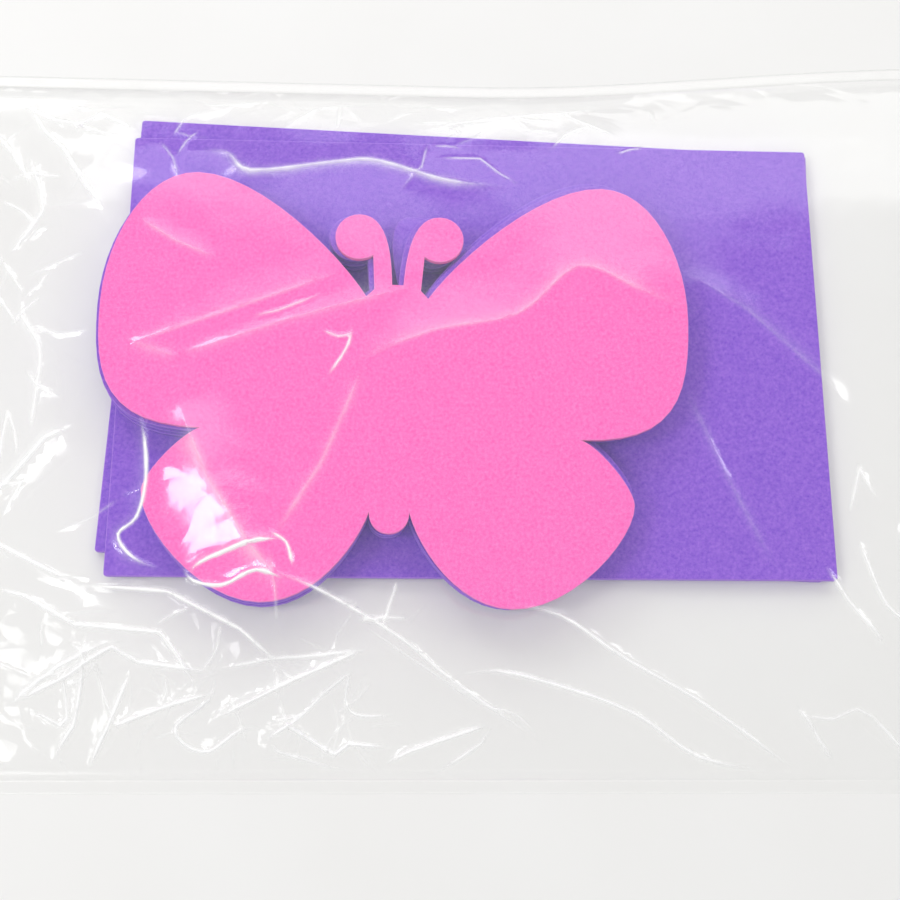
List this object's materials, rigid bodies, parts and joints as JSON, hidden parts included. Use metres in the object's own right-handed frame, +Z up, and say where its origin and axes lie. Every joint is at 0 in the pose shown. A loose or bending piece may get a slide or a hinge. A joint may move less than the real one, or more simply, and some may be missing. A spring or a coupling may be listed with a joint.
{
  "type": "bagged craft foam shapes",
  "caption": "Clear flat bag holding a stack of die-cut foam butterflies on plain foam sheets, which slide out through its open end.",
  "frame": {"origin": "middle of the bag, on the surface that it lies on", "axes": "+X along the bag towards its open end, +Y to the far side seal, +Z up through the stack"},
  "size_m": [0.3298, 0.2238, 0.0199],
  "materials": {
    "clear_film": "gloss",
    "purple_foam": "matte",
    "pink_foam": "matte"
  },
  "bodies": {
    "bag": {"bag_back_film": "clear_film", "end_seal": "clear_film", "side_seal_near": "clear_film", "side_seal_far": "clear_film", "bag_front_film": "clear_film"},
    "sheet_lower": {"foam_sheet_lower": "purple_foam"},
    "sheet_upper": {"foam_sheet_upper": "purple_foam"},
    "butterfly_4": {"purple_butterfly_4": "purple_foam"},
    "butterfly_3": {"purple_butterfly_3": "purple_foam"},
    "butterfly_2": {"purple_butterfly_2": "purple_foam"},
    "butterfly_1": {"purple_butterfly_1": "purple_foam"},
    "butterfly_top": {"pink_butterfly": "pink_foam"}
  },
  "joints": [
    {"name": "sheet_lower_out", "type": "slide", "parent": "bag", "child": "sheet_lower", "axis": [1, 0, 0], "range_m": [0, 0.285]},
    {"name": "sheet_upper_out", "type": "slide", "parent": "bag", "child": "sheet_upper", "axis": [1, 0, 0], "range_m": [0, 0.285]},
    {"name": "butterfly_4_out", "type": "slide", "parent": "bag", "child": "butterfly_4", "axis": [1, 0, 0], "range_m": [0, 0.285]},
    {"name": "butterfly_3_out", "type": "slide", "parent": "bag", "child": "butterfly_3", "axis": [1, 0, 0], "range_m": [0, 0.285]},
    {"name": "butterfly_2_out", "type": "slide", "parent": "bag", "child": "butterfly_2", "axis": [1, 0, 0], "range_m": [0, 0.285]},
    {"name": "butterfly_1_out", "type": "slide", "parent": "bag", "child": "butterfly_1", "axis": [1, 0, 0], "range_m": [0, 0.285]},
    {"name": "butterfly_top_out", "type": "slide", "parent": "bag", "child": "butterfly_top", "axis": [1, 0, 0], "range_m": [0, 0.285]}
  ]
}
